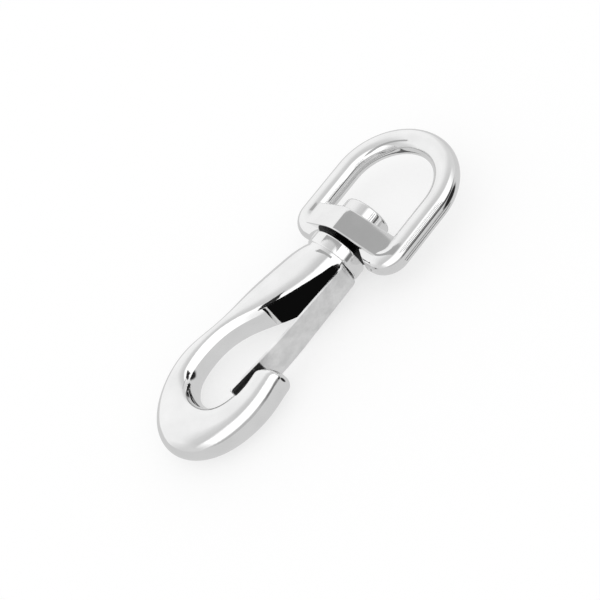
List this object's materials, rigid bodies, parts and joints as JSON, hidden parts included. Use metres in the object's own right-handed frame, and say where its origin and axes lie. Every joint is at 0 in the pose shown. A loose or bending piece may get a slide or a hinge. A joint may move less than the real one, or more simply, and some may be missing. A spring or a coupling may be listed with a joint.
{
  "type": "swivel snap hook",
  "caption": "Cast snap hook with a D-shaped swivel eye on a headed stud and a flat spring-leaf gate that closes on the hook's nose.",
  "frame": {"origin": "centre of the eye's crown, on the swivel axis and in the hook's middle plane", "axes": "+Y up the swivel axis to the eye's crown, +X to the gate side, +Z square to the hook's plane, upward as it lies"},
  "size_m": [0.0386, 0.1084, 0.016],
  "materials": {
    "polished_chrome": "polished",
    "satin_leaf": "satin"
  },
  "bodies": {
    "hook": {"hook_body": "polished_chrome", "swivel_stud": "polished_chrome"},
    "eye": {"swivel_eye": "polished_chrome"},
    "gate": {"gate_leaf": "satin_leaf"}
  },
  "joints": [
    {"name": "eye_swivel", "type": "hinge", "parent": "hook", "child": "eye", "pos_m": [0, -0.02, 0], "axis": [0, 1, 0], "continuous": true},
    {"name": "gate_flex", "type": "hinge", "parent": "hook", "child": "gate", "pos_m": [0.0044, -0.02595, 0], "axis": [0, 0, -1], "range_deg": [0, 18], "stiffness_Nm_per_rad": 0.9, "springref_deg": -5.73}
  ]
}
